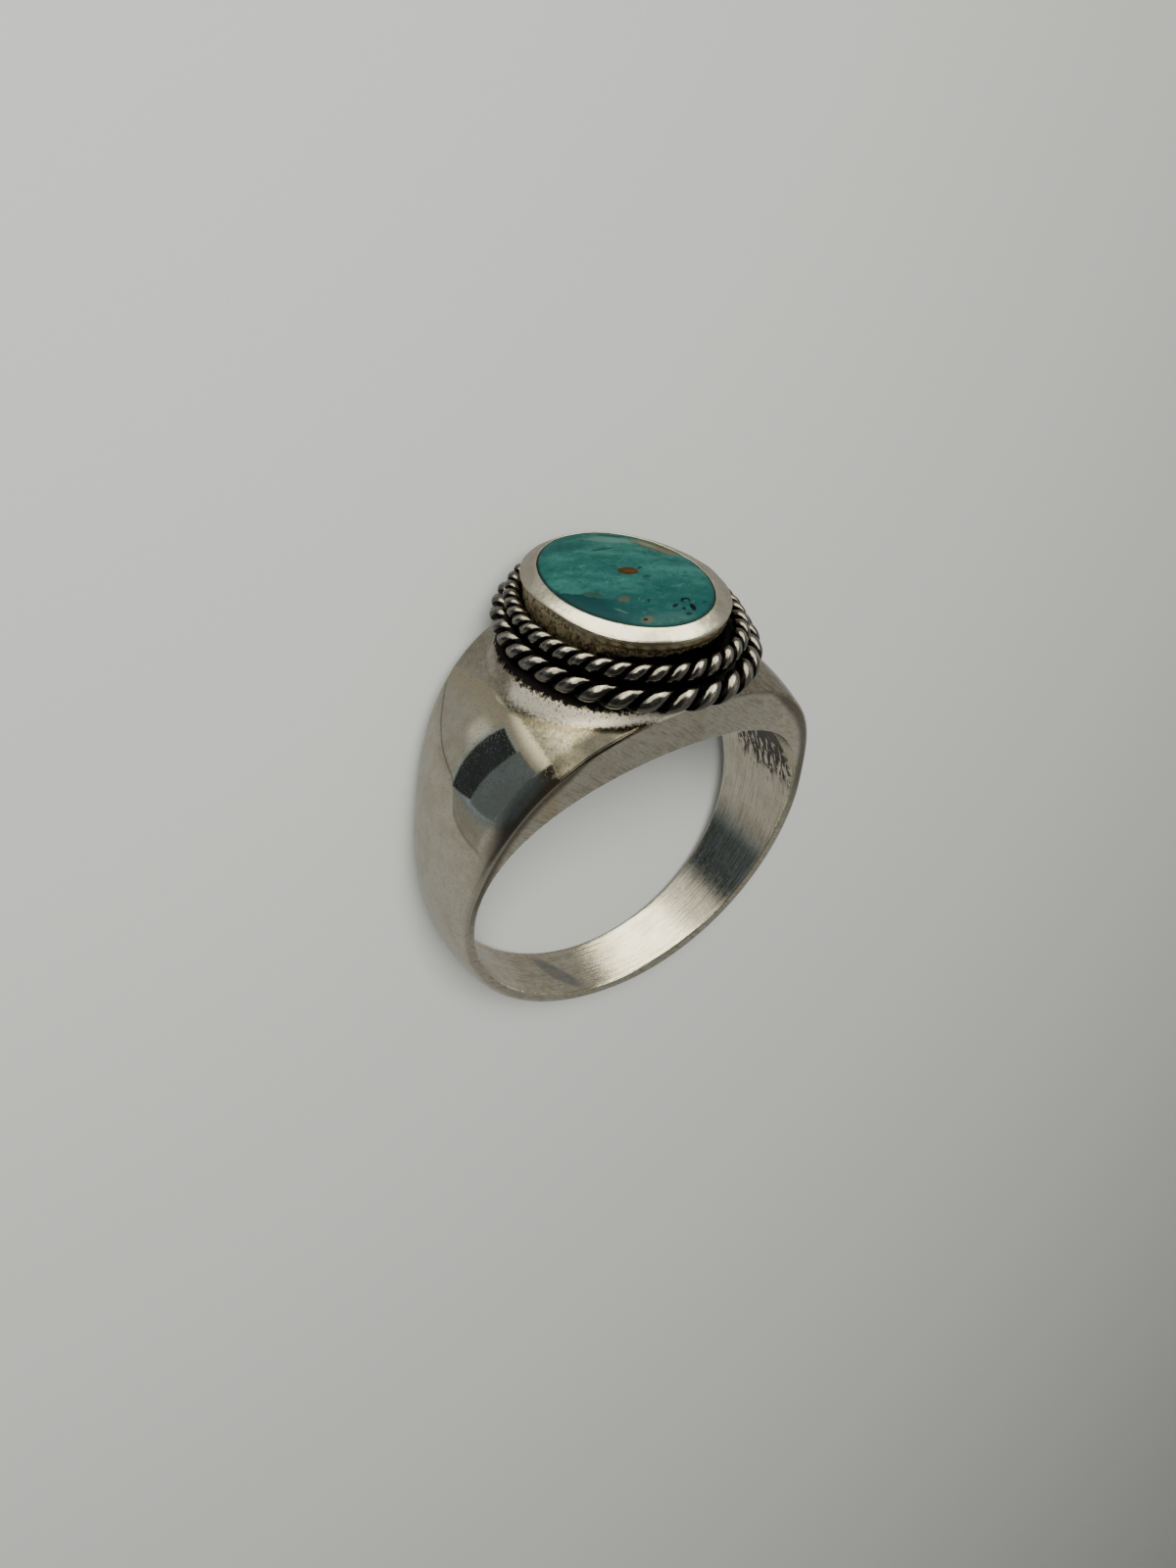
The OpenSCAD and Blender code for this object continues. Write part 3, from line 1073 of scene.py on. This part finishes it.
# painted shade for the stone's edge under the lip
PAINTED_EDGE_SHADE = (0.010, 0.026, 0.024, 1)
MARKS = (
    # centre, half sizes, turn, softness, strength, colour
    ((1.2, -3.55), (1.4, 0.50), 165, 0.9, 0.5, TEAL_DEEP),
    ((-1.30, -3.15), (1.3, 0.34), 143, 0.9, 0.5, PALE),
    ((-1.50, -3.74), (0.75, 0.14), 143, 0.6, 0.8, TEAL_DEEP),
    ((2.40, 1.10), (0.50, 0.16), 128, 0.8, 0.75, MOSS),
    ((2.05, 2.85), (0.32, 0.05), 115, 0.9, 0.3, PALE),
    ((0.5, 4.2), (1.1, 0.35), 165, 1.0, 0.12, PALE),
    ((-2.74, -1.68), (1.30, 0.48), 113, 0.3, 0.95, OLIVE),
    ((-2.50, -2.05), (0.50, 0.16), 113, 0.9, 0.5, PALE),
    ((-3.02, -1.55), (1.25, 0.07), 113, 0.7, 0.75, RUST),
    ((-2.35, -1.60), (1.10, 0.04), 113, 0.8, 0.7, PIT),
    ((-0.04, 0.08), (0.46, 0.33), 151, 0.25, 1.0, RUST),
    ((-0.15, 0.12), (0.30, 0.12), 151, 0.9, 0.6, RUST_PALE),
    ((-0.70, 0.06), (0.16, 0.08), 20, 0.4, 0.8, PIT),
    ((0.27, -0.63), (0.16, 0.05), 150, 0.5, 0.6, PIT),
    ((-0.50, 0.89), (0.20, 0.12), 0, 0.6, 0.8, TEAL_DEEP),
    ((0.60, 2.74), (0.16, 0.06), 60, 0.5, 0.7, PIT),
    ((-2.55, 0.02), (0.26, 0.07), 150, 0.6, 0.7, TEAL_DEEP),
    ((1.45, 2.12), (0.42, 0.32), 0, 1.0, 0.35, MOSS),
    ((1.45, 2.12), (0.25, 0.21), 0, 1.0, 0.5, TAN),
    ((1.40, 3.92), (0.26, 0.20), 0, 1.0, 0.7, TAN),
    ((1.50, 3.88), (0.10, 0.09), 0, 0.5, 0.9, PIT),
    ((-0.88, 3.38), (0.23, 0.18), 0, 0.35, 1.0, PIT),
    ((-0.86, 3.44), (0.13, 0.11), 0, 0.5, 0.9, TEAL),
    ((-0.86, 3.98), (0.26, 0.12), 70, 0.35, 1.0, PIT),
    ((-0.20, 3.58), (0.17, 0.10), 30, 0.5, 0.9, PIT),
    ((-0.42, 3.92), (0.12, 0.08), 40, 0.4, 0.9, PIT),
    ((-0.40, 4.33), (0.15, 0.09), 0, 0.4, 0.8, PIT),
    ((-0.27, -2.41), (0.60, 0.07), 170, 0.7, 0.75, PIT),
    ((-2.07, -0.83), (0.2, 0.06), 136, 0.6, 0.8, TEAL_DEEP),
    ((-1.62, 3.78), (0.12, 0.05), 0, 0.6, 0.7, PIT),
)
print(len(MARKS), "marks on the stone")


# %% Finish of the stone
def blot(x, y, ragged, centre, size, turn_deg, soft):
    """An oval mark at centre (mm) with half sizes, whose edge is pushed about by ragged."""
    c, s = cos(radians(turn_deg)), sin(radians(turn_deg))
    along = ((x - centre[0]) * c + (y - centre[1]) * s) / size[0]
    aside = ((y - centre[1]) * c - (x - centre[0]) * s) / size[1]
    far = (along ** 2 + aside ** 2) ** 0.5 + ragged
    return far.step(1 + soft / 2, 1 - soft / 2)


def dark_end(x, y, ragged):
    """The darker cloud beyond a ragged line across the stone's left front."""
    beyond = (0.767 * x + 0.642 * y + ragged * 0.55).step(2.62, 2.74)
    beyond = beyond * (x + ragged * 0.6).step(0.4, 1.6)
    return beyond * (0.35 + 0.65 * (x + ragged * 0.5).step(1.9, 2.5))


def turquoise():
    material, tree, shader = new_material("turquoise")
    place = ring_place(tree)
    x, y, _ = split(place)
    ragged = (grain(place, 2.2, detail=4, roughness=0.6) - 0.5) * 1.4
    torn = ragged * 0.4 + (grain(place, 6.5, detail=2) - 0.5) * 0.65
    bands = grain(place, 0.5, detail=6, roughness=0.65, stretch=(0.8, 1.4, 1), turn_deg=(0, 0, 30))
    mottle = grain(place, 2.4, detail=6, roughness=0.7)
    veins = grain(place, 1.3, detail=4, roughness=0.6, stretch=(1, 2.2, 1), turn_deg=(0, 0, 35),
                  distortion=0.8)
    scratches = grain(place, 1, detail=2, stretch=(9, 1.0, 1), turn_deg=(0, 0, 50))
    reach = ((x / stone_wid) ** 2 + ((y - head_shift) / stone_len) ** 2) ** 0.5
    color = layered(TEAL, (
        (bands.step(0.38, 0.66), TEAL_PALE),
        (mottle.step(0.48, 0.72) * 0.75, TEAL_DEEP),
        (mottle.step(0.44, 0.30) * 0.35, PALE),
        (veins.step(0.64, 0.72) * 0.25, PALE),
        (dark_end(x, y, ragged), TEAL_END),
        (0.45 * (y + 0.5 * x + ragged).step(0.0, 4.0), TEAL_DEEP),
        (scratches.step(0.66, 0.72) * 0.25, PALE),
    ))
    color = layered(color, [
        (blot(x, y, torn, centre, size, turn_deg, soft) * strength, paint)
        for centre, size, turn_deg, soft, strength, paint in MARKS])
    # Painted shade in a thin ring round the stone's edge, where it meets the lip.
    painted_edge_shade = (reach + (mottle - 0.5) * 0.03).step(0.965, 0.995) * 0.75
    plug(tree, shader, {"Base Color": mix_colors(painted_edge_shade, color, PAINTED_EDGE_SHADE),
                        "Roughness": 0.24 + 0.12 * mottle, "Specular IOR Level": 0.06,
                        "Normal": bump(mottle, 0.3, 0.01)})
    return material


stone.data.materials.append(turquoise())

# %% [markdown]
# ## The floor
#
# The floor is a plain pale sheet, a little grainy like paper. Mirrors don't see it, so that the
# silver shows only the surroundings below.

# %% Floor
FLOOR_SIZE = 1.6
PAPER = (0.556, 0.568, 0.542, 1)
PAPER_GRAINS = 2600.0

bm = bmesh.new()
bmesh.ops.create_grid(bm, x_segments=1, y_segments=1, size=FLOOR_SIZE / 2)
floor = add_mesh("floor", bm)
material, tree, shader = new_material("paper")
paper = Wire(tree, None).node("ShaderNodeTexCoord", out="Object")
paper_grain = paper.node("ShaderNodeTexNoise", None,
                         {"Vector": paper, "Scale": PAPER_GRAINS, "Detail": 3.0})
plug(tree, shader, {"Base Color": PAPER, "Roughness": 0.8,
                    "Normal": bump(paper_grain, 0.25, 0.05)})
floor.data.materials.append(material)
floor.visible_glossy = False

# %% [markdown]
# ## Lights
#
# Two soft boxes light the ring as a window and a pale ceiling would: a small warm one at the
# stone's side, and a large cool one overhead. Each lamp aims at the ring by itself.


# %% Lights
def softbox(name, place, size, watts, tint):
    light = bpy.data.lights.new(name, "AREA")
    light.shape = "RECTANGLE"
    light.size, light.size_y = size
    light.energy = watts
    light.color = tint
    lamp = add_object(name, light)
    lamp.location = place
    lamp.rotation_euler = (-Vector(place)).to_track_quat("-Z", "Y").to_euler()
    lamp.visible_glossy = False
    print(name, "light of", watts, "W")


softbox("key", (0.045, -0.085, 0.150), (0.10, 0.08), 0.46, (1, 1, 0.97))
softbox("overhead", (0.05, 0.05, 0.45), (0.5, 0.5), 0.2, (0.97, 0.99, 1))

# %% [markdown]
# ## Surroundings
#
# Metal shows what stands round it more than the light on it. Cards on stands could give it a
# bright ceiling and a dark panel, but soft patches of the world's brightness need no meshes.
# Each is placed by an azimuth and an elevation in the upright ring's axes.

# %% Directions in the world
AZIMUTH_START = radians(-115)
world = bpy.data.worlds.new("studio")
bpy.context.scene.world = world
world.use_nodes = True
world.cycles.sampling_method = "NONE"
tree = world.node_tree
backdrop = tree.nodes["Background"]
heading = Wire(tree, None).node("ShaderNodeTexCoord", out="Generated")
upright = heading.node("ShaderNodeMapping", {"vector_type": "TEXTURE"},
                       {"Vector": heading, "Rotation": turn.to_euler()})
dx, dy, dz = split(upright)
ahead = dx * cos(AZIMUTH_START) + dy * sin(AZIMUTH_START)
aside = dy * cos(AZIMUTH_START) - dx * sin(AZIMUTH_START)
azimuth = heading.math("ARCTAN2", aside, ahead) * (180 / pi)
elevation = heading.math("ARCSINE", dz) * (180 / pi)


def window(value, low, high, soft):
    """1 between two values, with soft edges that wide."""
    return value.step(low - soft / 2, low + soft / 2) * value.step(high + soft / 2, high - soft / 2)


def panel(level, low_az, high_az, low_el, high_el, soft, brightness, lean=0.0):
    """Lays a patch of another brightness over the world; its low edge may lean by so much a degree."""
    middle = (low_az + high_az) / 2
    low_edge = (elevation - lean * (azimuth - middle)).step(low_el - soft / 2, low_el + soft / 2)
    high_edge = elevation.step(high_el + soft / 2, high_el - soft / 2)
    return level + (brightness - level) * window(azimuth, low_az, high_az, soft) * low_edge * high_edge


print(len(tree.nodes), "nodes")

# %% [markdown]
# ## Room and ceiling
#
# The room is dim, a little darker round one heading. Over it lies a bright ceiling of four
# parts, which the rim, the frosted band and the tops of the wires show. A strip under its edge
# makes the bright streak on the shoulder.

# %% Lay the room and the ceiling
DARK_HEADING = Vector((0.72, 0.60, 0.34)).normalized()
DARK_LEVEL = 0.05
OVERHEAD = 95
CEILING = (
    # azimuth from and to, elevation from, softness, brightness
    (-125, 62, 46.5, 10, 3.4),
    (62, 118, 47, 12, 2.6),
    (118, 148, 34, 8, 2.6),
    (150, 181, 70, 8, 2.6),
)

near_side = dy.step(-0.3, 0.6)
level = 0.25 + 0.05 * elevation.step(-4, -16) * (1 - 1.9 * near_side)
level = level + 0.04 * elevation.step(28, 40)
toward_dark = dx * DARK_HEADING.x + dy * DARK_HEADING.y + dz * DARK_HEADING.z
level = DARK_LEVEL + (level - DARK_LEVEL) * toward_dark.step(cos(radians(46)), cos(radians(68)))
for low_az, high_az, low_el, soft, brightness in CEILING:
    level = panel(level, low_az, high_az, low_el, OVERHEAD, soft, brightness)
strip = 0.24 + 0.9 * elevation.step(30, 40)
level = level + (strip - level) * window(azimuth, 57, 100, 4) * window(elevation, 26, 41, 3)
print(len(tree.nodes), "nodes")

# %% [markdown]
# ## Dark panel and floor line
#
# The shoulder mirrors a dark panel of three tones and, below it, the far edge of the surface.
# That edge is a thin darker line, which bends a little, with a dimmer area under it.

# %% Lay the dark panel and the floor line
level = panel(level, 81.5, 98, -5, 29.5, 1.5, 0.112, lean=-0.05)
level = panel(level, 99, 118, -6, 29.5, 9, 0.09)
level = panel(level, 68.7, 81.5, -6, 27.5, 1.2, 0.030, lean=0.4)
level = level + 0.22 * window(azimuth, 61, 67, 4) * window(elevation, 10, 20, 7)
floor_line = elevation + 6 + 7 * azimuth.step(66, 74) + 0.26 * (azimuth - 70).higher(0)
level = level * (1 - 0.45 * window(floor_line, -0.7, 0.7, 1.0) * window(azimuth, 25, 100, 10))
under_line = floor_line.step(0, 1.5) * elevation.step(-4.5, -7) * window(azimuth, 69, 98, 5)
level = level * (1 - 0.34 * under_line)
print(len(tree.nodes), "nodes")

# %% [markdown]
# ## Tint and use of the surroundings
#
# Bright parts are warm and the dark panel is cool. Only mirrors see the panels. Everything
# else gets a low, even light, and so does a mirror seen by light that has bounced off the
# floor, which keeps the floor free of bright specks.

# %% Tint and use of the surroundings
PLAIN_TINT = (1.0, 0.985, 0.93, 1)
WARM_TINT = (1.0, 0.95, 0.76, 1)
COOL_TINT = (0.82, 0.98, 1.12, 1)
EVEN_LEVEL = 0.09

glossy = heading.node("ShaderNodeLightPath", out="Is Glossy Ray")
bounced = heading.node("ShaderNodeLightPath", out="Diffuse Depth")
cool = window(azimuth, 68, 118, 4) * window(elevation, -8, 29, 4) * glossy
tint = layered(PLAIN_TINT, ((level.step(0.4, 1.5) * glossy, WARM_TINT), (cool, COOL_TINT)))
level = EVEN_LEVEL + (level - EVEN_LEVEL) * glossy * (1 - bounced.lower(1))
tree.links.new(tint.socket, backdrop.inputs["Color"])
tree.links.new(level.socket, backdrop.inputs["Strength"])
print("world of", len(tree.nodes), "nodes")

# %% [markdown]
# ## Finish
